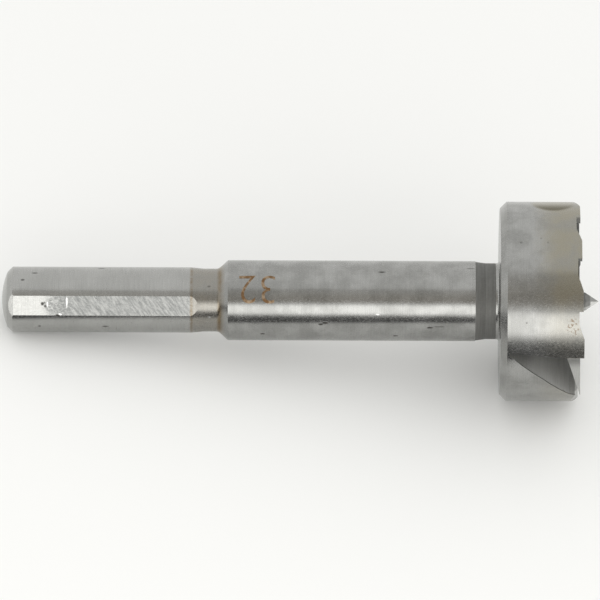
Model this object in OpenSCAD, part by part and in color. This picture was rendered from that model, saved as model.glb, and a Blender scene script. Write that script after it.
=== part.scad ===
// Forstner bit with a wave-cut rim, turned and milled from one bar of tool steel.
// Sizes are in millimetres. The bit is drawn along its own axis, from the shank's end
// to the centre point, and then laid down as it rests on a bench.

/* [Shank] */
// Diameter of the round shank
shank_d = 10.5; // [9:0.1:10.8]
// Length from the shank's end to the neck taper
shank_len = 30.4; // [24:0.1:40]
// Radius of the domed end
end_dome_r = 11.6; // [9:0.1:16]
// Size of the crowned 45 degree chamfer between the dome and the shank
end_chamfer = 0.9; // [0.5:0.05:1.2]
// Number of flats for the chuck's jaws
flat_count = 3; // [3:1:3]
// Depth of each flat below the round shank
flat_depth = 0.25; // [0.15:0.01:0.4]
// Angle of the first flat
flat_first_deg = 11.5; // [5:0.5:18]
// How far past the end chamfer the bevel at the start of each flat reaches
flat_lead = 0.15; // [0.1:0.05:0.5]
// Slope of that bevel
flat_bevel_deg = 25; // [20:1:28]
// How far before the neck taper each flat's level part ends
flat_stop = 0.1; // [0.05:0.05:0.6]
// Radius of the milling cutter's run-out at the end of a flat
flat_runout_r = 5; // [3:0.5:10]

/* [Neck] */
// Neck diameter
neck_d = 10.1; // [8.6:0.1:10.4]
// Length of the taper from the shank down to the neck
neck_taper_len = 1.95; // [1:0.05:3]
// Straight length of the neck
neck_len = 2.05; // [1:0.1:5]
// Fillet between the neck and the shoulder
neck_fillet_r = 1.0; // [0.5:0.1:1.4]
// Slope of the shoulder, measured from the axis
shoulder_deg = 42; // [38:1:55]

/* [Body] */
// Body diameter, the track for a depth-stop collar
body_d = 12.85; // [12:0.05:14]
// Straight length of the body
body_len = 39.7; // [30:0.1:60]

/* [Relief] */
// Step down at the end of the body
relief_step = 0.1; // [0.05:0.01:0.15]
// Depth of the turned relief below the body
relief_depth = 0.33; // [0.2:0.01:0.5]
// Length of the taper into the relief
relief_taper_len = 1.6; // [1:0.1:2.5]
// Length from that taper to the head
relief_len = 2.3; // [1.5:0.1:4]
// Fillet where the relief meets the head
relief_fillet_r = 0.6; // [0.3:0.05:1]

/* [Head] */
// Cutting diameter
head_d = 32; // [30:0.5:36]
// Height from the back face to the leading tooth of the rim
head_h = 13.35; // [12:0.05:16]
// 45 degree chamfer at the back of the head
head_chamfer = 1.05; // [0.6:0.05:1.5]
// Thickness of the scoring rim
rim_t = 1.1; // [0.8:0.05:1.6]

/* [Wave rim] */
// Angle where the rim's leading tooth ends and the lifter goes on
rim_lead_deg = 34.5; // [32:0.5:37]
// Arc of the leading tooth
lead_tooth_deg = 28.5; // [26:0.5:30]
// Arc of each further tooth
tooth_pitch_deg = 31.5; // [29:0.5:33]
// Flat crest of each tooth
crest_deg = 12; // [9:0.5:14]
// Slope behind each crest
slope_deg = 9; // [6:0.5:10]
// Height of each tooth's front face
tooth_h = 0.65; // [0.4:0.05:0.8]
// How much lower each tooth is than the one ahead of it
tooth_fall = 0.2; // [0.1:0.05:0.25]

/* [Lifters] */
// Direction of the cutting edges
edge_deg = 65; // [63:0.5:67]
// How far the cutting edges stand ahead of the axis
edge_ahead = 1.1; // [0.8:0.05:1.3]
// How far the cutting edges stand behind the leading tooth
edge_setback = 0.47; // [0.4:0.01:0.6]
// Clearance angle of the lifters
clearance_deg = 5; // [3:0.5:8]
// Clearance angle of the land at the lifter's outer end
land_clearance_deg = 1.2; // [0.5:0.1:2.5]
// Thickness left on the cutting edge
edge_land = 0.06; // [0.05:0.01:0.15]
// Depth of the flat on the lifter's outer end, at its root
end_relief = 0.08; // [0.05:0.01:0.2]
// Depth of that flat at the cutting corner
corner_relief = 0.03; // [0.02:0.01:0.06]
// Lifter thickness at its root
lifter_root_t = 2.1; // [1.8:0.05:2.6]

/* [Throats] */
// Angle of the throat's upper wall at its back end
throat_back_deg = 31; // [29:0.5:33]
// Height of the throat's back end above the head's back face
throat_floor = 1.3; // [1.2:0.05:2]
// Length of the throat's back end
throat_floor_len = 1.2; // [0.8:0.1:1.6]
// Corner radius at the throat's back end
throat_corner_r = 1.0; // [0.6:0.1:1.3]
// Gap between the cutting edge and the lip below it
mouth_gap = 0.85; // [0.6:0.05:1]
// Height of the lip's front wall
lip_h = 0.9; // [0.5:0.05:1.1]
// How far the ramp bulges ahead of a straight line
ramp_bulge = 0.35; // [0:0.05:0.5]
// Half thickness of the web between the two throats
web_half = 3.2; // [2.8:0.1:4]
// Depth of the hollow ground ahead of each edge, below the edge
hollow_depth = 1.55; // [1.3:0.05:1.7]
// Where the hollow is deepest, ahead of the edge
hollow_mid = 5.2; // [4:0.1:6]
// Length of the slope from the hollow up to the last tooth
hollow_rise_len = 4.6; // [4:0.1:5.5]

/* [Centre point] */
// Diameter of the centre point
point_d = 2.95; // [2.4:0.05:3.4]
// Height of the point's tip above the leading tooth
point_h = 2.55; // [2.3:0.05:3.2]
// Full angle of the tip
point_deg = 67; // [60:1:75]
// Ground facets on the tip
point_facets = 6; // [4:1:8]

/* [Hidden] */
$fn = 64;
steel = [0.62, 0.61, 0.58];
// Overlap that keeps cuts clear of the faces they open
eps = 0.3;
// Reach of a cutter past the head
far = 40;
shank_r = shank_d / 2;
neck_r = neck_d / 2;
body_r = body_d / 2;
head_r = head_d / 2;
point_r = point_d / 2;
rim_in_r = head_r - rim_t;
flat_dist = shank_r - flat_depth;
relief_r = body_r - relief_depth;

// Stations along the axis
dome_rim_r = shank_r - end_chamfer;
u_dome = end_dome_r - sqrt(end_dome_r * end_dome_r - dome_rim_r * dome_rim_r);
dome_deg = asin(shank_r / end_dome_r);
u_chamfer = u_dome + end_chamfer;
u_crown = u_chamfer + dome_rim_r;
crown_r = norm([shank_r, dome_rim_r]);
u_neck = shank_len + neck_taper_len;
u_shoulder = u_neck + neck_len;
fillet_h = neck_fillet_r * sin(shoulder_deg);
fillet_rise = neck_fillet_r * (1 - cos(shoulder_deg));
u_body = u_shoulder + fillet_h + (body_r - neck_r - fillet_rise) / tan(shoulder_deg);
u_relief = u_body + body_len;
u_relief_floor = u_relief + relief_taper_len;
u_back = u_relief_floor + relief_len;
u_crest = u_back + head_h;
u_edge = u_crest - edge_setback;
u_tip = u_crest + point_h;

// Rest on a bench: the shank lies on the end of one flat and the head on its rear edge
u_flat_end = u_chamfer + flat_lead;
rest_flat_deg = flat_first_deg + 360 / flat_count;
rest_tilt = atan((head_r - flat_dist) / (u_back + head_chamfer - u_flat_end));
rest_lift = flat_dist * cos(rest_tilt) - u_flat_end * sin(rest_tilt);
rest_mid = (u_tip * cos(rest_tilt) - end_dome_r * (1 - cos(rest_tilt))) / 2;

// Points of an arc about a centre, from one angle to another
function arc(c, r, a0, a1, n) =
    [for (i = [0 : n]) let (a = a0 + (a1 - a0) * i / n) c + r * [cos(a), sin(a)]];

// Distance ahead of the axis, along the cut, of a point on the head's outer wall
function ahead(deg) = head_r * sin(deg - edge_deg);

// Crest height of one tooth, counted from the leading tooth
function crest_u(k) = u_crest - k * tooth_fall;

// Front angle of one tooth
function tooth_deg(k) = rim_lead_deg - (k == 0 ? 0 : lead_tooth_deg + (k - 1) * tooth_pitch_deg);

// Half profile of everything that is turned: shank, neck, body, relief and head
module turned_profile() {
    polygon(concat(
        [[0, end_dome_r * (1 - cos(dome_deg / 8))]],
        arc([0, end_dome_r], end_dome_r, dome_deg / 8 - 90, dome_deg - 90, 7),
        [[shank_r, shank_len], [neck_r, u_neck]],
        arc([neck_r + neck_fillet_r, u_shoulder], neck_fillet_r, 180, 180 - shoulder_deg, 4),
        [[body_r, u_body], [body_r, u_relief], [body_r - relief_step, u_relief], [relief_r, u_relief_floor]],
        arc([relief_r + relief_fillet_r, u_back - relief_fillet_r], relief_fillet_r, 180, 90, 4),
        [[head_r - head_chamfer, u_back], [head_r, u_back + head_chamfer], [head_r, u_crest], [0, u_crest]]));
}

// What the crowned chamfer takes off the shank's end
module end_crown() {
    difference() {
        translate([0, 0, -eps]) cylinder(r = crown_r + eps, h = u_crown + eps);
        translate([0, 0, u_crown]) sphere(r = crown_r);
    }
}

// One jaw flat with its bevelled start and the round run-out that the milling cutter leaves
module jaw_flat() {
    u_end = shank_len - flat_stop;
    translate([flat_dist, -shank_r, -eps]) cube([shank_r, shank_d, u_end + eps]);
    translate([flat_dist, 0, u_flat_end]) rotate([0, flat_bevel_deg, 0])
        translate([0, -shank_r, -shank_r]) cube([shank_r, shank_d, shank_r]);
    translate([flat_dist + flat_runout_r, 0, u_end])
        rotate([90, 0, 0]) cylinder(r = flat_runout_r, h = shank_d, center = true);
}

// Everything above a level, between two angles
module sector_above(a0, a1, u) {
    mid = (a0 + a1) / 2;
    translate([0, 0, u]) linear_extrude(far)
        polygon([[0, 0], far * [cos(a0), sin(a0)], far * [cos(mid), sin(mid)], far * [cos(a1), sin(a1)]]);
}

// A profile in the plane of the outer wall, cut inwards along one direction
module radial_cut(deg, from) {
    rotate([0, 0, deg]) translate([from, 0, 0])
        rotate([90, 0, 90]) linear_extrude(far) children();
}

// The wave on one half of the rim: level crests, a slope behind each, and upright tooth fronts
module rim_wave() {
    inside = (lead_tooth_deg - crest_deg - slope_deg) / 2;
    for (k = [0 : 2]) {
        next = tooth_deg(k + 1);
        low = crest_u(k + 1) - tooth_h;
        back = head_r * sin(tooth_deg(k) - crest_deg - next);
        foot = head_r * sin(tooth_deg(k) - crest_deg - slope_deg - next);
        over = eps * (crest_u(k) - low) / (back - foot);
        radial_cut(next, web_half) polygon([
            [0, low], [foot, low], [back + eps, crest_u(k) + over], [back + eps, u_crest + eps], [0, u_crest + eps]]);
        if (k > 0) sector_above(next + inside, tooth_deg(k) + inside, crest_u(k));
    }
    sector_above(edge_deg + 20 - 180, tooth_deg(3) + inside, crest_u(3));
}

// Everything above the plane that falls back from the cutting edge at an angle
module above_flank(deg) {
    translate([0, edge_ahead, u_edge]) rotate([deg, 0, 0])
        translate([-far, -2 * far, 0]) cube([2 * far, 2 * far + edge_ahead, far]);
}

// The dished front inside the rim, ground at the clearance angle behind one cutting edge
module flank() {
    rotate([0, 0, edge_deg]) intersection() {
        above_flank(clearance_deg);
        cylinder(r = rim_in_r, h = 4 * far);
        linear_extrude(4 * far)
            polygon([[0, edge_ahead], [far, edge_ahead], [far, -far], [-far, -far],
                     [-far, -edge_ahead], [0, -edge_ahead]]);
    }
}

// The land at the lifter's outer end, ahead of the leading tooth
module lifter_land() {
    intersection() {
        rotate([0, 0, edge_deg]) above_flank(land_clearance_deg);
        sector_above(rim_lead_deg, edge_deg + 20, u_back);
    }
}

// Line of the lifter's rake face, from its root to the cutting edge
root_t = ahead(rim_lead_deg);
root_u = u_edge - (edge_ahead - root_t) * tan(land_clearance_deg) - lifter_root_t;
rake_slope = (u_edge - edge_land - root_u) / (edge_ahead - root_t);

// The chip throat under one lifter, from its mouth at the edge to the back of the head
module throat() {
    floor_u = u_back + throat_floor;
    back_t = ahead(throat_back_deg);
    lip = [edge_ahead, u_edge - mouth_gap];
    heel = [edge_ahead - eps, lip[1] - lip_h];
    foot = [back_t + throat_floor_len, floor_u + throat_corner_r];
    middle = (heel + foot) / 2 + ramp_bulge * [-(heel - foot)[1], (heel - foot)[0]] / norm(heel - foot);
    corner = [foot[0] - throat_corner_r, floor_u + throat_corner_r];
    radial_cut(edge_deg, web_half) polygon(concat(
        [[back_t, floor_u], [root_t, root_u], [edge_ahead + eps, u_edge - edge_land + eps * rake_slope],
         [edge_ahead + eps, lip[1]], lip, heel, middle],
        arc(corner, throat_corner_r, 0, -90, 5)));
}

// The hollow ground ahead of one cutting edge, which ends the other half of the rim
module front_hollow() {
    deep = u_edge - hollow_depth;
    rise = hollow_rise_len / (crest_u(3) - deep);
    radial_cut(edge_deg, point_r + eps) polygon([
        [edge_ahead, u_edge - mouth_gap], [hollow_mid, deep], [hollow_mid + 1, deep],
        [hollow_mid + 1 + rise * (u_crest + eps - deep), u_crest + eps], [edge_ahead, u_crest + eps]]);
}

// The flat ground on the lifter's outer end, so that only its corner meets the hole's wall
module lifter_end_relief() {
    corner_deg = edge_deg + asin(edge_ahead / head_r);
    root_p = (head_r - end_relief) * [cos(rim_lead_deg), sin(rim_lead_deg)];
    corner_p = (head_r - corner_relief) * [cos(corner_deg), sin(corner_deg)];
    along = corner_p - root_p;
    intersection() {
        radial_cut(edge_deg, web_half) polygon([
            [root_t - eps, root_u - eps], [edge_ahead + eps, u_edge - edge_land - eps],
            [edge_ahead + eps, u_crest + eps], [root_t - eps, u_crest + eps]]);
        translate([root_p[0], root_p[1], 0]) rotate([0, 0, atan2(along[1], along[0])])
            translate([-far, -far, 0]) cube([2 * far, far, 4 * far]);
        sector_above(rim_lead_deg, edge_deg + 20, u_back);
    }
}

// The centre point: a pin with a faceted tip
module centre_point() {
    cone_h = point_r / tan(point_deg / 2);
    cone_r = 2 * point_r;
    intersection() {
        translate([0, 0, u_back]) cylinder(r = point_r, h = u_tip - u_back);
        union() {
            translate([0, 0, u_back]) cylinder(r = cone_r, h = u_tip - 2 * cone_h - u_back, $fn = point_facets);
            translate([0, 0, u_tip - 2 * cone_h])
                cylinder(r1 = cone_r / cos(180 / point_facets), r2 = 0.05, h = 2 * cone_h, $fn = point_facets);
        }
    }
}

// The whole bit along its own axis
module bit() {
    difference() {
        rotate([0, 0, rest_flat_deg + 180]) rotate_extrude() turned_profile();
        end_crown();
        for (i = [0 : flat_count - 1]) rotate([0, 0, flat_first_deg + i * 360 / flat_count]) jaw_flat();
        for (half = [0, 180]) rotate([0, 0, half]) {
            rim_wave();
            flank();
            lifter_land();
            throat();
            front_hollow();
            lifter_end_relief();
        }
    }
    centre_point();
}

// The bit as it lies on a bench
module forstner_bit() {
    color(steel)
        translate([-rest_mid, 0, rest_lift]) rotate([0, 90 - rest_tilt, 0]) rotate([0, 0, -rest_flat_deg]) bit();
}

forstner_bit();
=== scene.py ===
import logging
import math
from dataclasses import dataclass, field
from enum import Enum
from typing import Any, Sequence, Union

import bpy
from mathutils import Euler, Matrix, Vector


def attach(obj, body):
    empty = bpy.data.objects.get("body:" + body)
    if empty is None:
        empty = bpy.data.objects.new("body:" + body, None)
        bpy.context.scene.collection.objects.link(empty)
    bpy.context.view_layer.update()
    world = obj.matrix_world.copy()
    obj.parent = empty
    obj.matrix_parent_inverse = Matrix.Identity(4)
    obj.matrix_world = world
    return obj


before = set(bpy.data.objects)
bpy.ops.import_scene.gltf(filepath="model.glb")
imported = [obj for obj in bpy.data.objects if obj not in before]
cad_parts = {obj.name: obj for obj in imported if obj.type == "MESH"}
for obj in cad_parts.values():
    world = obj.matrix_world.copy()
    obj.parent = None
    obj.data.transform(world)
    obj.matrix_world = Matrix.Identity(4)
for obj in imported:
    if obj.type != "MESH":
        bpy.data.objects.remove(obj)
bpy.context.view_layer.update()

LOG = logging.getLogger("forstner_bit")
Colour = tuple[float, float, float, float]
FLOAT = "NodeSocketFloat"
VECTOR = "NodeSocketVector"
Socket = bpy.types.NodeSocket
Value = Union[float, Sequence[float], Socket]


class Region(Enum):
    """Stretches of the bit along its axis, in millimetres from the shank's end."""

    SHANK = (-1.0, 30.60)
    FLATS = (1.30, 30.90)
    WORN_FLATS = (9.00, 32.00)
    SHANK_EDGE = (30.25, 30.65)
    NECK = (30.40, 35.70)
    DULL_NECK = (31.00, 34.60)
    AMBER_RING = (34.65, 35.25)
    RELIEF = (76.01, 79.25)
    POCKETS = (81.20, 94.50)


@dataclass(frozen=True)
class Placement:
    """How the bit's own axis lies in the row frame.

    The bit's own frame has its third axis along the bit from the shank's end, and
    counts angles from the side that the camera faces, in the direction of rotation.
    """

    tilt_deg: float = 7.920548
    turn_deg: float = 131.5
    lift_mm: float = 4.690962
    middle_mm: float = 47.393134

    def rotation(self) -> Matrix:
        """Turns the bit's own frame into the row frame."""
        lay = Matrix.Rotation(math.radians(90.0 - self.tilt_deg), 3, "Y")
        return lay @ Matrix.Rotation(math.radians(-self.turn_deg), 3, "Z")

    def direction(self, angle_deg: float) -> Vector:
        """Row direction that points away from the axis at an angle."""
        angle = math.radians(angle_deg)
        return self.rotation() @ Vector((math.cos(angle), math.sin(angle), 0.0))

    def axis(self) -> Vector:
        """Row direction from the shank's end to the centre point."""
        return self.rotation() @ Vector((0.0, 0.0, 1.0))

    def point(self, radius_mm: float, angle_deg: float, along_mm: float) -> Vector:
        """Row position of a point given on the bit.

        Args:
            radius_mm: Distance from the axis.
            angle_deg: Angle about the axis.
            along_mm: Distance from the shank's end.

        Returns:
            The position in metres.
        """
        spot = self.direction(angle_deg) * radius_mm + self.axis() * along_mm
        return (spot + Vector((-self.middle_mm, 0.0, self.lift_mm))) / 1000.0

    def mapping(self) -> tuple[Vector, Euler, Vector]:
        """Takes row metres to the bit's millimetres.

        Returns:
            Location, rotation and scale.
        """
        back = self.rotation().transposed()
        start = back @ Vector((self.middle_mm, 0.0, -self.lift_mm))
        turn = Euler((0.0, math.radians(self.tilt_deg - 90.0), math.radians(self.turn_deg)), "XYZ")
        return start, turn, Vector((1000.0, 1000.0, 1000.0))


@dataclass(frozen=True)
class SteelFinish:
    """Colours and gloss of the ground tool steel."""

    bare: Colour = (0.53, 0.53, 0.515, 1.0)
    dull: Colour = (0.40, 0.40, 0.385, 1.0)
    relief: Colour = (0.31, 0.31, 0.295, 1.0)
    scuffed: Colour = (0.245, 0.25, 0.245, 1.0)
    rust: Colour = (0.17, 0.10, 0.045, 1.0)
    # glint is the colour of painted highlights.
    glint: Colour = (0.95, 0.95, 0.94, 1.0)
    neck: Colour = (0.42, 0.395, 0.35, 1.0)
    amber: Colour = (0.26, 0.18, 0.085, 1.0)
    oil: Colour = (0.43, 0.40, 0.315, 1.0)
    # The next colour is painted shade for the lower edge of the oil bead.
    painted_bead_shade: Colour = (0.135, 0.115, 0.06, 1.0)
    mark: Colour = (0.055, 0.05, 0.042, 1.0)
    pale: Colour = (0.66, 0.66, 0.64, 1.0)
    # milled and shaded are a lit and a shaded copy of the pockets' steel: painted light and painted shade in
    # the milled pockets
    milled: Colour = (0.76, 0.76, 0.74, 1.0)
    shaded: Colour = (0.36, 0.36, 0.345, 1.0)
    shank: Colour = (0.62, 0.62, 0.60, 1.0)
    level: Colour = (0.70, 0.70, 0.70, 1.0)
    gloss: float = 0.215
    bump_strength: float = 0.35
    bump_m: float = 0.00003


@dataclass(frozen=True)
class EtchFinish:
    """The brown of the etched size number."""

    deep: Colour = (0.17, 0.095, 0.042, 1.0)
    faded: Colour = (0.33, 0.245, 0.165, 1.0)
    gloss: float = 0.46
    metal: float = 0.7


@dataclass(frozen=True)
class Mark:
    """One small mark on the surface: a pit, a ding, a scratch or a painted glint."""

    along_mm: float
    angle_deg: float
    half_along_mm: float
    half_angle_deg: float
    depth: float = 1.0


class Wires:
    """Adds nodes to one node tree and links them."""

    def __init__(self, tree: bpy.types.NodeTree) -> None:
        """Keeps the tree that the nodes go into."""
        self.tree = tree

    def add(self, kind: str, **settings: Any) -> bpy.types.Node:
        """Adds a node and sets its properties.

        Args:
            kind: Node type.
            **settings: Properties of the node.

        Returns:
            The new node.
        """
        node = self.tree.nodes.new(kind)
        for name, value in settings.items():
            setattr(node, name, value)
        return node

    def feed(self, socket: Socket, value: Value) -> None:
        """Links a socket to another, or sets its value.

        Args:
            socket: The socket.
            value: What goes into it.
        """
        if isinstance(value, Socket):
            self.tree.links.new(value, socket)
        else:
            socket.default_value = value

    def math(self, operation: str, first: Value, second: Value = 0.0, clamp: bool = False) -> Socket:
        """Adds a Math node.

        Args:
            operation: What it computes.
            first: First operand.
            second: Second operand.
            clamp: Keeps the result between 0 and 1.

        Returns:
            The result.
        """
        node = self.add("ShaderNodeMath", operation=operation, use_clamp=clamp)
        self.feed(node.inputs[0], first)
        self.feed(node.inputs[1], second)
        return node.outputs[0]

    def times(self, first: Value, second: Value) -> Socket:
        """Product of two values."""
        return self.math("MULTIPLY", first, second)

    def plus(self, first: Value, second: Value) -> Socket:
        """Sum of two values."""
        return self.math("ADD", first, second)

    def minus(self, first: Value, second: Value) -> Socket:
        """Difference of two values."""
        return self.math("SUBTRACT", first, second)

    def reach(self, first: Value, second: Value) -> Socket:
        """Length of the slanted side over two square ones."""
        return self.math("SQRT", self.plus(self.times(first, first), self.times(second, second)))

    def span(
        self, value: Value, low: float, high: float, to_low: float = 0.0, to_high: float = 1.0,
    ) -> Socket:
        """Maps a value smoothly from one span to another.

        Args:
            value: The value.
            low: Where the first span starts.
            high: Where it ends.
            to_low: Result at the start.
            to_high: Result at the end.

        Returns:
            The mapped value.
        """
        node = self.add("ShaderNodeMapRange", interpolation_type="SMOOTHSTEP")
        self.feed(node.inputs["Value"], value)
        spans = (("From Min", low), ("From Max", high), ("To Min", to_low), ("To Max", to_high))
        for name, number in spans:
            self.feed(node.inputs[name], number)
        return node.outputs["Result"]

    def mix(self, factor: Value, first: Value, second: Value, blend: str = "MIX") -> Socket:
        """Mixes two colours.

        Args:
            factor: How much of the second.
            first: First colour.
            second: Second colour.
            blend: Blend mode.

        Returns:
            The mixed colour.
        """
        node = self.add("ShaderNodeMix", data_type="RGBA", blend_type=blend)
        self.feed(node.inputs[0], factor)
        self.feed(node.inputs[6], first)
        self.feed(node.inputs[7], second)
        return node.outputs[2]

    def noise(self, vector: Value, scale: Value, detail: float = 3.0, rough: float = 0.55) -> Socket:
        """Adds a noise texture.

        Args:
            vector: Where it is read.
            scale: Its fineness.
            detail: Octaves.
            rough: Share of each finer octave.

        Returns:
            The noise, about 0.5.
        """
        node = self.add("ShaderNodeTexNoise")
        self.feed(node.inputs["Vector"], vector)
        self.feed(node.inputs["Scale"], scale)
        self.feed(node.inputs["Detail"], detail)
        self.feed(node.inputs["Roughness"], rough)
        return node.outputs["Fac"]

    def stretch(self, vector: Value, scale: Sequence[float]) -> Socket:
        """Scales a vector along each axis.

        Args:
            vector: The vector.
            scale: Scale along each axis.

        Returns:
            The stretched vector.
        """
        node = self.add("ShaderNodeMapping")
        self.feed(node.inputs["Vector"], vector)
        node.inputs["Scale"].default_value = scale
        return node.outputs["Vector"]

    def place(self, group: bpy.types.NodeTree, **inputs: Value) -> bpy.types.Node:
        """Places a node group and feeds its inputs.

        Args:
            group: The group.
            **inputs: Values by input name, with underscores for spaces.

        Returns:
            The group's node.
        """
        node = self.add("ShaderNodeGroup", node_tree=group)
        for name, value in inputs.items():
            self.feed(node.inputs[name.replace("_", " ")], value)
        return node


class SurfaceGroups:
    """The node groups that the finishes share."""

    def __init__(self, placement: Placement) -> None:
        """Builds each group once."""
        self.placement = placement
        self.coordinates = self._coordinates()
        self.band = self._band()
        self.patch = self._patch()
        self.turning = self._turning()
        self.mottling = self._mottling()
        self.pitting = self._pitting()

    @staticmethod
    def _start(
        name: str,
        inputs: Sequence[tuple[str, str, float]],
        outputs: Sequence[tuple[str, str]],
    ) -> tuple[Wires, bpy.types.Node, bpy.types.Node]:
        """Starts an empty group.

        Args:
            name: Group name.
            inputs: Name, socket type and default of each input.
            outputs: Name and socket type of each output.

        Returns:
            The group's wires, its input node and its output node.
        """
        tree = bpy.data.node_groups.new(name, "ShaderNodeTree")
        for label, kind, default in inputs:
            socket = tree.interface.new_socket(name=label, in_out="INPUT", socket_type=kind)
            if kind == FLOAT:
                socket.default_value = default
        for label, kind in outputs:
            tree.interface.new_socket(name=label, in_out="OUTPUT", socket_type=kind)
        wires = Wires(tree)
        return wires, wires.add("NodeGroupInput"), wires.add("NodeGroupOutput")

    def _coordinates(self) -> bpy.types.NodeTree:
        """Object coordinates as the bit's own: along the axis, angle and radius.

        Returns:
            The group.
        """
        wires, source, sink = self._start(
            "bit_coordinates",
            [("Vector", VECTOR, 0.0)],
            [("Local", VECTOR), ("Along", FLOAT), ("Angle", FLOAT), ("Radius", FLOAT)],
        )
        mapping = wires.add("ShaderNodeMapping")
        place, turn, scale = self.placement.mapping()
        mapping.inputs["Location"].default_value = place
        mapping.inputs["Rotation"].default_value = turn
        mapping.inputs["Scale"].default_value = scale
        wires.feed(mapping.inputs["Vector"], source.outputs["Vector"])
        parts = wires.add("ShaderNodeSeparateXYZ")
        wires.feed(parts.inputs[0], mapping.outputs["Vector"])
        across, over = parts.outputs["X"], parts.outputs["Y"]
        angle = wires.math("DEGREES", wires.math("ARCTAN2", over, across))
        radius = wires.reach(across, over)
        wires.feed(sink.inputs["Local"], mapping.outputs["Vector"])
        wires.feed(sink.inputs["Along"], parts.outputs["Z"])
        wires.feed(sink.inputs["Angle"], angle)
        wires.feed(sink.inputs["Radius"], radius)
        return wires.tree

    def _band(self) -> bpy.types.NodeTree:
        """A mask that is 1 between two stations along the axis.

        Returns:
            The group.
        """
        wires, source, sink = self._start(
            "band_along_bit",
            [
                ("Along", FLOAT, 0.0), ("From", FLOAT, 0.0),
                ("To", FLOAT, 1.0), ("Softness", FLOAT, 0.1),
            ],
            [("Mask", FLOAT)],
        )
        out = source.outputs
        rise = wires.math("DIVIDE", wires.minus(out["Along"], out["From"]), out["Softness"])
        fall = wires.math("DIVIDE", wires.minus(out["To"], out["Along"]), out["Softness"])
        mask = wires.times(wires.span(rise, -1.0, 1.0), wires.span(fall, -1.0, 1.0))
        wires.feed(sink.inputs["Mask"], mask)
        return wires.tree

    def _patch(self) -> bpy.types.NodeTree:
        """A soft oval mask about one place on the surface.

        Returns:
            The group.
        """
        names = (
            ("Along", 0.0), ("Angle", 0.0), ("At Along", 0.0), ("At Angle", 0.0),
            ("Half Along", 1.0), ("Half Angle", 10.0), ("Softness", 0.3), ("Ragged", 0.0),
        )
        wires, source, sink = self._start(
            "patch_on_bit",
            [(name, FLOAT, value) for name, value in names],
            [("Mask", FLOAT)],
        )
        out = source.outputs
        along = wires.math("DIVIDE", wires.minus(out["Along"], out["At Along"]), out["Half Along"])
        turned = wires.minus(out["Angle"], out["At Angle"])
        wrapped = wires.minus(wires.math("MODULO", wires.plus(turned, 900.0), 360.0), 180.0)
        across = wires.math("DIVIDE", wrapped, out["Half Angle"])
        reach = wires.reach(along, across)
        reach = wires.plus(reach, out["Ragged"])
        inside = wires.math("DIVIDE", wires.minus(1.0, reach), out["Softness"])
        wires.feed(sink.inputs["Mask"], wires.span(inside, -1.0, 1.0))
        return wires.tree

    def _turning(self) -> bpy.types.NodeTree:
        """Fine lines around the axis, as turning and grinding leave them.

        Returns:
            The group.
        """
        wires, source, sink = self._start(
            "turning_lines",
            [("Local", VECTOR, 0.0), ("Fineness", FLOAT, 1.0)],
            [("Lines", FLOAT)],
        )
        vector = wires.stretch(source.outputs["Local"], (0.12, 0.12, 6.0))
        wires.feed(sink.inputs["Lines"], wires.noise(vector, source.outputs["Fineness"], 2.0, 0.6))
        return wires.tree

    def _mottling(self) -> bpy.types.NodeTree:
        """Uneven greys of handled steel: broad clouds and a fine grain.

        Returns:
            The group.
        """
        wires, source, sink = self._start(
            "steel_mottling",
            [("Local", VECTOR, 0.0)],
            [("Clouds", FLOAT), ("Grain", FLOAT)],
        )
        wires.feed(sink.inputs["Clouds"], wires.noise(source.outputs["Local"], 0.22, 3.0, 0.6))
        drawn = wires.stretch(source.outputs["Local"], (1.0, 1.0, 0.55))
        wires.feed(sink.inputs["Grain"], wires.noise(drawn, 4.5, 3.0, 0.7))
        return wires.tree

    def _pitting(self) -> bpy.types.NodeTree:
        """Scattered small pits.

        Returns:
            The group.
        """
        wires, source, sink = self._start(
            "small_pits",
            [("Local", VECTOR, 0.0), ("Fineness", FLOAT, 0.4)],
            [("Pits", FLOAT)],
        )
        cells = wires.add("ShaderNodeTexVoronoi")
        wires.feed(cells.inputs["Vector"], wires.stretch(source.outputs["Local"], (1.0, 1.0, 0.6)))
        wires.feed(cells.inputs["Scale"], source.outputs["Fineness"])
        lucky = wires.add("ShaderNodeSeparateColor")
        wires.feed(lucky.inputs[0], cells.outputs["Color"])
        size = wires.times(wires.span(lucky.outputs[0], 0.72, 1.0), 0.10)
        near = wires.minus(size, cells.outputs["Distance"])
        wires.feed(sink.inputs["Pits"], wires.span(near, -0.01, 0.03))
        return wires.tree


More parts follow.
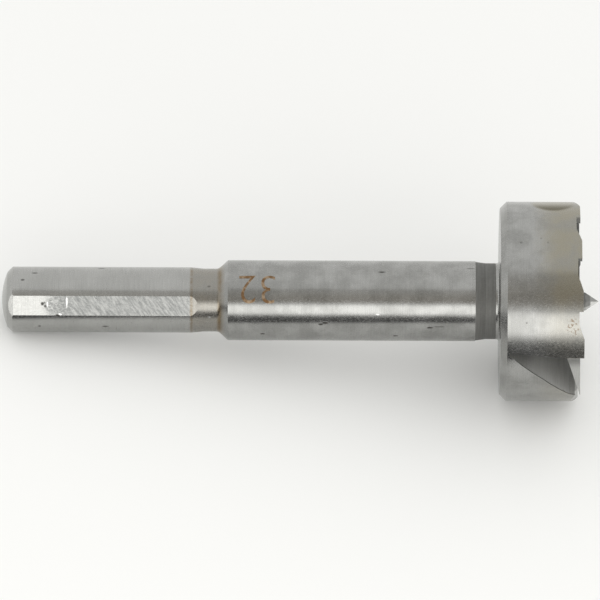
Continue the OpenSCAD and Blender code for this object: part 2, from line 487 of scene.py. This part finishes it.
@dataclass
class SteelBit:
    """The bit itself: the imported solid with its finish."""

    groups: SurfaceGroups
    finish: SteelFinish = SteelFinish()
    node: str = "forstner_bit"
    flat_first_deg: float = 11.5
    flat_half_deg: float = 17.6
    milling_deg: float = 52.0
    milling_mm_per_deg: float = 0.087
    wall_from_mm: float = 15.80
    wall_to_mm: float = 15.93
    marks: tuple[Mark, ...] = (
        Mark(68.7, 42.0, 0.45, 1.6), Mark(70.3, 40.2, 0.9, 0.9, 0.6), Mark(51.9, 34.0, 0.5, 1.8),
        Mark(51.2, 36.5, 0.35, 1.4), Mark(60.9, -45.5, 0.55, 1.3), Mark(75.2, -54.0, 0.7, 0.9, 0.7),
        Mark(41.9, 57.0, 0.35, 1.5), Mark(63.2, 61.0, 0.4, 1.5), Mark(5.3, -53.5, 0.45, 1.8, 0.8),
        Mark(3.4, -36.5, 0.3, 2.0, 0.8), Mark(16.0, -72.0, 0.6, 2.0, 0.7), Mark(6.6, 8.0, 0.24, 2.6),
        Mark(7.05, 12.5, 0.2, 2.2, 0.8), Mark(6.95, 6.0, 0.16, 1.6, 0.6), Mark(9.1, 30.0, 0.35, 2.5),
        Mark(83.1, -36.0, 0.2, 0.7, 0.4), Mark(84.0, 12.5, 0.16, 0.6, 0.35), Mark(86.3, -39.0, 0.14, 0.5, 0.35),
        Mark(87.4, -36.0, 0.14, 0.5, 0.35), Mark(16.7, 55.0, 0.5, 2.0, 0.8), Mark(6.1, 55.0, 0.25, 2.0, 0.8),
        Mark(33.2, 32.0, 0.2, 1.6, 0.6),
    )
    # glints are painted highlights: bright spots where light catches the edges of pits and nicks.
    glints: tuple[Mark, ...] = (
        Mark(10.5, 4.5, 0.13, 9.0), Mark(7.4, 9.0, 0.12, 4.0), Mark(60.3, 20.2, 0.3, 1.3),
        Mark(33.3, 33.0, 0.2, 2.0, 0.8), Mark(9.4, 27.5, 0.3, 1.6),
    )

    def dress(self) -> bpy.types.Material:
        """Builds the steel and puts it on the solid.

        Returns:
            The material.
        """
        material = bpy.data.materials.new("tool_steel")
        material.use_nodes = True
        wires = Wires(material.node_tree)
        shader = material.node_tree.nodes["Principled BSDF"]
        shader.inputs["Metallic"].default_value = 1.0
        source = wires.add("ShaderNodeTexCoord")
        place = wires.place(self.groups.coordinates, Vector=source.outputs["Object"]).outputs
        self.local, self.along = place["Local"], place["Along"]
        self.angle, self.radius = place["Angle"], place["Radius"]
        mottling = wires.place(self.groups.mottling, Local=self.local).outputs
        flat = self._flats(wires)
        colour = self._colour(wires, mottling, flat)
        colour = wires.mix(1.0, colour, self.finish.level, "MULTIPLY")
        wires.feed(shader.inputs["Base Color"], colour)
        wires.feed(shader.inputs["Roughness"], self._roughness(wires, mottling, flat))
        wires.feed(shader.inputs["Normal"], self._relief(wires, mottling, flat))
        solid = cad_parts[self.node]
        solid.data.materials.clear()
        solid.data.materials.append(material)
        return material

    def band(self, wires: Wires, region: Region, soft: float) -> Socket:
        """Mask of a stretch along the axis.

        Args:
            wires: The material's wires.
            region: The stretch.
            soft: Half width of its edges.

        Returns:
            The mask.
        """
        low, high = region.value
        band = wires.place(self.groups.band, Along=self.along, From=low, To=high, Softness=soft)
        return band.outputs["Mask"]

    def patch(self, wires: Wires, mark: Mark, soft: float = 0.35, ragged: Value = 0.0) -> Socket:
        """Mask of an oval place.

        Args:
            wires: The material's wires.
            mark: Where it is and how large.
            soft: Softness of its edge.
            ragged: Noise that breaks its edge.

        Returns:
            The mask.
        """
        patch = wires.place(
            self.groups.patch, Along=self.along, Angle=self.angle,
            At_Along=mark.along_mm, At_Angle=mark.angle_deg,
            Half_Along=mark.half_along_mm, Half_Angle=mark.half_angle_deg,
            Softness=soft, Ragged=ragged,
        )
        return patch.outputs["Mask"]

    def pocket(self, wires: Wires) -> Socket:
        """Mask of the milled faces inside the head's outer wall."""
        inside = wires.span(self.radius, self.wall_to_mm, self.wall_from_mm)
        return wires.times(inside, self.band(wires, Region.POCKETS, 0.1))

    def _flats(self, wires: Wires) -> Socket:
        """Mask of the three jaw flats.

        Args:
            wires: The material's wires.

        Returns:
            The mask.
        """
        turned = wires.plus(self.angle, 720.0 + 60.0 - self.flat_first_deg)
        self.aside = wires.minus(wires.math("MODULO", turned, 120.0), 60.0)
        aside = wires.math("ABSOLUTE", self.aside)
        inside = wires.span(aside, self.flat_half_deg + 0.4, self.flat_half_deg - 0.4)
        return wires.times(inside, self.band(wires, Region.FLATS, 0.3))

    def _milling(self, wires: Wires) -> Socket:
        """Slanted cutter marks on the flats.

        Args:
            wires: The material's wires.

        Returns:
            The marks, about 0.5.
        """
        across = wires.times(self.aside, self.milling_mm_per_deg)
        slant = math.radians(self.milling_deg)
        cos, sin = math.cos(slant), math.sin(slant)
        steps = wires.minus(wires.times(across, cos), wires.times(self.along, sin))
        sweep = wires.plus(wires.times(across, sin), wires.times(self.along, cos))
        vector = wires.add("ShaderNodeCombineXYZ")
        wires.feed(vector.inputs["X"], wires.times(steps, 2.2))
        wires.feed(vector.inputs["Y"], wires.times(sweep, 0.42))
        return wires.noise(vector.outputs["Vector"], 1.3, 4.0, 0.7)

    def _colour(self, wires: Wires, mottling: Any, flat: Socket) -> Socket:
        """Base colour by region, with stains and marks, painted shade in the pockets and painted glints.

        Args:
            wires: The material's wires.
            mottling: Outputs of the mottling group.
            flat: Mask of the jaw flats.

        Returns:
            The colour.
        """
        steel = self.finish
        clouds = wires.span(mottling["Clouds"], 0.38, 0.66)
        colour = wires.mix(clouds, steel.dull, steel.bare)
        colour = wires.mix(wires.span(mottling["Grain"], 0.35, 0.7, 0.0, 0.22), colour, steel.pale)
        colour = wires.mix(wires.times(self.band(wires, Region.SHANK, 0.4), 0.6), colour, steel.shank)
        # Painted shade in the pockets: the milled faces are painted darker below the lifter's edge (angles
        # under about 40 degrees) and towards the shank's end, lighter further round.
        lit = wires.span(self.angle, 36.0, 45.0, 0.1, 1.0)
        lit = wires.times(lit, wires.span(self.along, 82.0, 88.5, 0.5, 1.0))
        colour = wires.mix(self.pocket(wires), colour, wires.mix(lit, steel.shaded, steel.milled))
        milled = wires.span(self._milling(wires), 0.36, 0.64)
        worn = wires.times(flat, self.band(wires, Region.WORN_FLATS, 3.5))
        colour = wires.mix(wires.times(flat, 0.85), colour, steel.pale)
        cut = wires.plus(0.55, wires.times(milled, 0.45))
        colour = wires.mix(wires.times(worn, cut), colour, steel.scuffed)
        scuff = wires.times(flat, self.patch(wires, Mark(9.2, self.flat_first_deg, 2.1, 22.0), 0.3))
        scuff = wires.times(scuff, wires.span(mottling["Grain"], 0.38, 0.6, 0.25, 0.9))
        colour = wires.mix(scuff, colour, steel.scuffed)
        neck = self.band(wires, Region.NECK, 0.25)
        neck = wires.times(neck, wires.span(mottling["Clouds"], 0.3, 0.6, 0.45, 0.9))
        colour = wires.mix(neck, colour, steel.neck)
        ring = self.band(wires, Region.AMBER_RING, 0.28)
        ring = wires.times(ring, wires.span(mottling["Clouds"], 0.35, 0.6, 0.35, 0.9))
        colour = wires.mix(ring, colour, steel.amber)
        edge = self.band(wires, Region.SHANK_EDGE, 0.2)
        edge = wires.times(edge, wires.span(mottling["Grain"], 0.3, 0.65, 0.1, 0.75))
        colour = wires.mix(edge, colour, steel.amber)
        relief = self.band(wires, Region.RELIEF, 0.06)
        turned = wires.place(self.groups.turning, Local=self.local, Fineness=2.4).outputs["Lines"]
        colour = wires.mix(wires.span(turned, 0.35, 0.68, 0.0, 0.2), colour, steel.scuffed)
        lines = wires.place(self.groups.turning, Local=self.local, Fineness=1.0).outputs["Lines"]
        relief = wires.times(relief, wires.span(lines, 0.3, 0.7, 0.55, 1.0))
        colour = wires.mix(relief, colour, steel.relief)
        colour = self._oil(wires, colour, mottling)
        return self._marks(wires, colour)

    def _oil(self, wires: Wires, colour: Socket, mottling: Any) -> Socket:
        """Adds the dried oil on the head, with painted shade along the lower edge of its bead.

        Args:
            wires: The material's wires.
            colour: Colour below it.
            mottling: Outputs of the mottling group.

        Returns:
            The stained colour.
        """
        steel = self.finish
        ragged = wires.times(wires.minus(wires.noise(self.local, 0.8, 4.0, 0.6), 0.5), 3.2)
        front = wires.span(wires.plus(self.along, ragged), 84.6, 89.6, 0.0, 0.9)
        film = wires.times(front, wires.span(mottling["Clouds"], 0.32, 0.6, 0.4, 0.95))
        film = wires.times(film, wires.span(self.angle, -4.0, 8.0, 1.0, 0.4))
        wall = wires.span(self.radius, self.wall_from_mm, self.wall_to_mm)
        film = wires.times(film, wall)
        colour = wires.mix(film, colour, steel.oil)
        bead = wires.times(self.patch(wires, Mark(88.4, -78.5, 3.4, 13.0), 0.14), wall)
        # Painted shade: the oil bead is painted dark along its lower edge, as a bump's shaded side.
        shade = wires.span(self.angle, -80.0, -67.0)
        colour = wires.mix(wires.times(bead, 0.85), colour, steel.oil)
        colour = wires.mix(wires.times(bead, shade), colour, steel.painted_bead_shade)
        spots = wires.span(wires.noise(self.local, 2.6, 3.0, 0.6), 0.53, 0.62)
        rusty = wires.times(self.patch(wires, Mark(91.4, 14.5, 1.0, 5.0), 0.5), spots)
        return wires.mix(wires.times(wires.times(rusty, wall), 0.85), colour, steel.rust)

    def _marks(self, wires: Wires, colour: Socket) -> Socket:
        """Adds the single marks, the painted glints and the small pits.

        Args:
            wires: The material's wires.
            colour: Colour below them.

        Returns:
            The marked colour.
        """
        rough = wires.times(wires.minus(wires.noise(self.local, 3.0, 3.0, 0.7), 0.5), 1.3)
        total: Value = 0.0
        for mark in self.marks:
            spot = wires.times(self.patch(wires, mark, 0.45, rough), mark.depth)
            total = wires.math("MAXIMUM", total, spot)
        self.dents = total
        # Painted highlights: the glints are painted near-white into the colour.
        bright: Value = 0.0
        for mark in self.glints:
            spot = wires.times(self.patch(wires, mark, 0.4, rough), mark.depth)
            bright = wires.math("MAXIMUM", bright, spot)
        colour = wires.mix(bright, colour, self.finish.glint)
        colour = wires.mix(wires.times(total, 0.85), colour, self.finish.mark)
        self.pits = wires.place(self.groups.pitting, Local=self.local, Fineness=0.42).outputs["Pits"]
        return wires.mix(wires.times(self.pits, 0.5), colour, self.finish.mark)

    def _roughness(self, wires: Wires, mottling: Any, flat: Socket) -> Socket:
        """Gloss by region.

        Args:
            wires: The material's wires.
            mottling: Outputs of the mottling group.
            flat: Mask of the jaw flats.

        Returns:
            The roughness.
        """
        gloss = self.finish.gloss
        rough = wires.span(mottling["Grain"], 0.3, 0.7, gloss - 0.04, gloss + 0.07)
        rough = wires.plus(rough, wires.times(self.band(wires, Region.RELIEF, 0.06), 0.42))
        rough = wires.plus(rough, wires.times(self.band(wires, Region.DULL_NECK, 0.4), 0.06))
        rough = wires.plus(rough, wires.times(flat, 0.05))
        rough = wires.plus(rough, wires.times(self.pocket(wires), 0.5))
        return wires.math("ADD", rough, wires.times(self.dents, 0.25), clamp=True)

    def _relief(self, wires: Wires, mottling: Any, flat: Socket) -> Socket:
        """Fine relief: turning lines, cutter marks, dents and pits.

        Args:
            wires: The material's wires.
            mottling: Outputs of the mottling group.
            flat: Mask of the jaw flats.

        Returns:
            The normal.
        """
        fine = wires.place(self.groups.turning, Local=self.local, Fineness=1.6).outputs["Lines"]
        deeper = wires.times(self.band(wires, Region.RELIEF, 0.1), 1.4)
        grooves = wires.times(fine, wires.plus(0.16, deeper))
        height = wires.plus(grooves, wires.times(mottling["Grain"], 0.05))
        height = wires.plus(height, wires.times(wires.times(flat, self._milling(wires)), 1.1))
        height = wires.minus(height, wires.times(self.dents, 1.6))
        height = wires.minus(height, self.pits)
        bump = wires.add("ShaderNodeBump")
        bump.inputs["Strength"].default_value = self.finish.bump_strength
        bump.inputs["Distance"].default_value = self.finish.bump_m
        wires.feed(bump.inputs["Height"], height)
        return bump.outputs["Normal"]


@dataclass
class SizeNumber:
    """The plain size number etched on the body."""

    placement: Placement
    groups: SurfaceGroups
    finish: EtchFinish = EtchFinish()
    text: str = "32"
    height_mm: float = 4.75
    width_mm: float = 5.75
    body_r_mm: float = 6.425
    proud_mm: float = 0.012
    sunk_mm: float = 0.03
    stroke_offset: float = -0.013
    stroke_extrude: float = 0.02
    curve_steps: int = 10
    weld: float = 0.0001
    middle_along_mm: float = 41.0
    middle_angle_deg: float = -16.5

    def build(self) -> bpy.types.Object:
        """Makes the number as a thin skin on the body.

        Returns:
            The piece.
        """
        bpy.ops.object.select_all(action="DESELECT")
        bpy.ops.object.text_add(location=(0.0, 0.0, 0.0))
        piece = bpy.context.object
        piece.data.body = self.text
        piece.data.offset = self.stroke_offset
        piece.data.resolution_u = self.curve_steps
        piece.data.extrude = self.stroke_extrude
        bpy.ops.object.convert(target="MESH")
        piece = bpy.context.object
        piece.name = "size_number"
        piece.data.name = "size_number"
        bpy.ops.object.mode_set(mode="EDIT")
        bpy.ops.mesh.select_all(action="SELECT")
        bpy.ops.mesh.remove_doubles(threshold=self.weld)
        bpy.ops.mesh.normals_make_consistent(inside=False)
        bpy.ops.object.mode_set(mode="OBJECT")
        self._wrap(piece)
        bpy.ops.object.shade_flat()
        piece.data.materials.clear()
        piece.data.materials.append(self._etch())
        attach(piece, "root")
        return piece

    def _wrap(self, piece: bpy.types.Object) -> None:
        """Lays the flat number around the body, upside down in the photograph's view.

        Args:
            piece: The flat number, changed in place.
        """
        points = [v.co.copy() for v in piece.data.vertices]
        low = Vector((min(p.x for p in points), min(p.y for p in points)))
        high = Vector((max(p.x for p in points), max(p.y for p in points)))
        middle = (low + high) / 2.0
        across = self.width_mm / (high.x - low.x)
        tall = self.height_mm / (high.y - low.y)
        for vertex, point in zip(piece.data.vertices, points):
            along = self.middle_along_mm - (point.x - middle.x) * across
            around = (point.y - middle.y) * tall
            angle = self.middle_angle_deg + math.degrees(around / self.body_r_mm)
            radius = self.body_r_mm + (self.proud_mm if point.z > 0.0 else -self.sunk_mm)
            vertex.co = self.placement.point(radius, angle, along)
        piece.data.update()

    def _etch(self) -> bpy.types.Material:
        """The brown etch, fading unevenly into the steel.

        Returns:
            The material.
        """
        material = bpy.data.materials.new("etched_brown")
        material.use_nodes = True
        wires = Wires(material.node_tree)
        shader = material.node_tree.nodes["Principled BSDF"]
        shader.inputs["Metallic"].default_value = self.finish.metal
        shader.inputs["Roughness"].default_value = self.finish.gloss
        source = wires.add("ShaderNodeTexCoord")
        local = wires.place(self.groups.coordinates, Vector=source.outputs["Object"]).outputs["Local"]
        faded = wires.span(wires.noise(local, 1.1, 3.0, 0.6), 0.42, 0.62)
        wires.feed(shader.inputs["Base Color"], wires.mix(faded, self.finish.deep, self.finish.faded))
        return material


@dataclass
class Studio:
    """Floor, light, glowing cards that paint reflections, and the camera."""

    placement: Placement
    frame_mm: float = 96.4
    distance_m: float = 1.8
    aim_along_mm: float = 47.87
    roll_deg: float = 0.236
    pixel_mm: float = 0.16
    ambient: float = 1.0
    warmth: float = 0.985
    floor_m: float = 8.0
    floor_drop_m: float = 0.00002
    floor_colour: Colour = (0.90, 0.90, 0.89, 1.0)
    window_long_m: float = 1.6
    window_wide_m: float = 0.264
    window_energy: float = 1.86
    window_colour: tuple[float, float, float] = (1.0, 0.99, 0.965)
    window_deg: float = 26.5
    window_away_m: float = 0.55
    card_strength: float = 1.43
    card_lift_m: float = 0.0002
    # The fields below place and colour glowing cards that show only in reflections: painted reflections of a
    # dark wall, a dark strip and a bright patch.
    wall_deg: tuple[float, float] = (-33.0, 7.0)
    wall_away_m: float = 1.35
    wall_half_m: float = 1.5
    wall_tones: tuple[Colour, ...] = (
        (0.41, 0.405, 0.39, 1.0), (0.45, 0.44, 0.42, 1.0), (0.39, 0.375, 0.345, 1.0),
        (0.345, 0.325, 0.295, 1.0), (0.32, 0.30, 0.27, 1.0),
    )
    strip_corners: tuple[tuple[float, float], ...] = (
        (-0.07, -0.30), (0.06, -0.30), (0.06, -0.053), (-0.07, -0.0035),
    )
    strip_tones: tuple[Colour, ...] = ((0.27, 0.27, 0.265, 1.0), (0.07, 0.07, 0.07, 1.0))
    patch_corners: tuple[tuple[float, float], ...] = (
        (0.076, -0.058), (0.15, -0.058), (0.15, -0.008), (0.076, -0.008),
    )
    patch_tones: tuple[Colour, ...] = ((1.6, 1.6, 1.57, 1.0), (1.6, 1.6, 1.57, 1.0))
    sensor_mm: float = 36.0
    clip_m: tuple[float, float] = (0.01, 20.0)
    rise_px: float = 0.4
    pieces: list[bpy.types.Object] = field(default_factory=list)

    def build(self) -> None:
        """Sets the whole studio up."""
        self._world()
        self._floor()
        self._softbox()
        self._cards()
        self._camera()

    def _world(self) -> None:
        """A plain white room, the same to every ray."""
        world = bpy.data.worlds.new("pale_room")
        world.use_nodes = True
        bpy.context.scene.world = world
        ground = world.node_tree.nodes["Background"]
        ground.inputs["Color"].default_value = (
            self.ambient, self.ambient, self.ambient * self.warmth, 1.0)

    def _floor(self) -> None:
        """A pale floor that keeps the bit's shadow."""
        bpy.ops.object.select_all(action="DESELECT")
        bpy.ops.mesh.primitive_plane_add(
            size=self.floor_m, location=(0.0, 0.0, -self.floor_drop_m))
        floor = bpy.context.object
        floor.name = "floor"
        material = bpy.data.materials.new("pale_floor")
        material.use_nodes = True
        tree = material.node_tree
        tree.nodes.clear()
        wires = Wires(tree)
        lit = wires.add("ShaderNodeBsdfDiffuse")
        lit.inputs["Color"].default_value = self.floor_colour
        sink = wires.add("ShaderNodeOutputMaterial")
        wires.feed(sink.inputs["Surface"], lit.outputs[0])
        floor.data.materials.append(material)
        self.pieces.append(floor)

    def _toward(self, angle_deg: float, distance_m: float) -> Vector:
        """A place in the plane across the bit, at an angle below the camera's line."""
        centre = self.placement.point(0.0, 0.0, self.aim_along_mm)
        return centre + self.placement.direction(angle_deg) * distance_m

    def _softbox(self) -> None:
        """The bright low window in front of the bit."""
        lamp = bpy.data.lights.new("front_window", "AREA")
        lamp.shape = "RECTANGLE"
        lamp.size = self.window_long_m
        lamp.size_y = self.window_wide_m
        lamp.energy = self.window_energy
        lamp.color = self.window_colour
        piece = bpy.data.objects.new("front_window", lamp)
        bpy.context.collection.objects.link(piece)
        self._face(piece, self.window_deg, self.window_away_m)
        piece.visible_camera = False

    def _face(self, piece: bpy.types.Object, angle_deg: float, distance_m: float) -> None:
        """Puts a lamp below the camera's line, facing the bit.

        Args:
            piece: The lamp.
            angle_deg: Angle below the camera's line.
            distance_m: Distance from the axis.
        """
        place = self._toward(angle_deg, distance_m)
        away = self.placement.direction(angle_deg)
        along = self.placement.axis()
        up = away.cross(along)
        turn = Matrix((along, up, away)).transposed().to_4x4()
        piece.matrix_world = Matrix.Translation(place) @ turn

    def _card(self, name: str, corners: Sequence[Vector], tones: Sequence[Colour]) -> None:
        """A glowing card that shows only in reflections: a painted reflection.

        Args:
            name: Its name.
            corners: Its corners in order, the first two on the edge with the first tone.
            tones: Its colours in reflections, evenly spaced from that edge to the other.
        """
        bpy.ops.object.select_all(action="DESELECT")
        bpy.ops.mesh.primitive_plane_add(size=1.0, location=(0.0, 0.0, 0.0))
        card = bpy.context.object
        card.name = name
        order = (0, 1, 3, 2)
        for vertex, index in zip(card.data.vertices, order):
            vertex.co = corners[index]
        material = bpy.data.materials.new(name)
        material.use_nodes = True
        tree = material.node_tree
        tree.nodes.clear()
        wires = Wires(tree)
        glow = wires.add("ShaderNodeEmission")
        glow.inputs["Strength"].default_value = self.card_strength
        ramp = wires.add("ShaderNodeValToRGB")
        while len(ramp.color_ramp.elements) < len(tones):
            ramp.color_ramp.elements.new(0.5)
        for index, tone in enumerate(tones):
            ramp.color_ramp.elements[index].position = index / (len(tones) - 1)
            ramp.color_ramp.elements[index].color = tone
        parts = wires.add("ShaderNodeSeparateXYZ")
        wires.feed(parts.inputs[0], wires.add("ShaderNodeTexCoord").outputs["UV"])
        wires.feed(ramp.inputs[0], parts.outputs["Y"])
        wires.feed(glow.inputs["Color"], ramp.outputs[0])
        sink = wires.add("ShaderNodeOutputMaterial")
        wires.feed(sink.inputs["Surface"], glow.outputs[0])
        card.data.materials.append(material)
        card.visible_camera = False
        card.visible_diffuse = False
        card.visible_shadow = False
        self.pieces.append(card)

    def _cards(self) -> None:
        """Glowing cards that show only in reflections, painting reflections into the steel: a dark wall behind
        the camera, and a dark strip and a bright patch on the floor.
        """
        along = self.placement.axis()
        low, high = self.wall_deg
        half = self.wall_half_m
        wall = []
        for angle, side in ((low, -half), (low, half), (high, half), (high, -half)):
            wall.append(self._toward(angle, self.wall_away_m) + along * side)
        self._card("reflection_only_dark_wall", wall, self.wall_tones)
        on_floor = (
            ("reflection_only_dark_strip", self.strip_corners, self.strip_tones),
            ("reflection_only_bright_patch", self.patch_corners, self.patch_tones),
        )
        for name, corners, tones in on_floor:
            self._card(name, [Vector((*spot, self.card_lift_m)) for spot in corners], tones)

    def _camera(self) -> None:
        """A long lens square to the bit's axis, at the photograph's angle."""
        data = bpy.data.cameras.new("camera")
        data.sensor_width = self.sensor_mm
        data.lens = self.sensor_mm * self.distance_m * 1000.0 / self.frame_mm
        data.clip_start, data.clip_end = self.clip_m
        camera = bpy.data.objects.new("camera", data)
        bpy.context.collection.objects.link(camera)
        away = self.placement.direction(0.0)
        axis = self.placement.axis()
        upward = away.cross(axis)
        roll = math.radians(self.roll_deg)
        right = axis * math.cos(roll) + upward * math.sin(roll)
        up = upward * math.cos(roll) - axis * math.sin(roll)
        aim = self.placement.point(0.0, 0.0, self.aim_along_mm)
        aim = aim + up * (self.rise_px * self.pixel_mm / 1000.0)
        turn = Matrix((right, up, away)).transposed().to_4x4()
        camera.matrix_world = Matrix.Translation(aim + away * self.distance_m) @ turn
        bpy.context.scene.camera = camera


def main() -> None:
    """Dresses the bit, adds its number and sets the studio up."""
    logging.basicConfig(level=logging.INFO, format="%(name)s: %(message)s")
    bpy.context.scene.view_settings.view_transform = "Standard"
    placement = Placement()
    groups = SurfaceGroups(placement)
    material = SteelBit(groups).dress()
    LOG.info("steel bit dressed with %s", material.name)
    number = SizeNumber(placement, groups).build()
    LOG.info("size number built as %s", number.name)
    Studio(placement).build()
    LOG.info("studio ready")


if __name__ == "__main__":
    main()
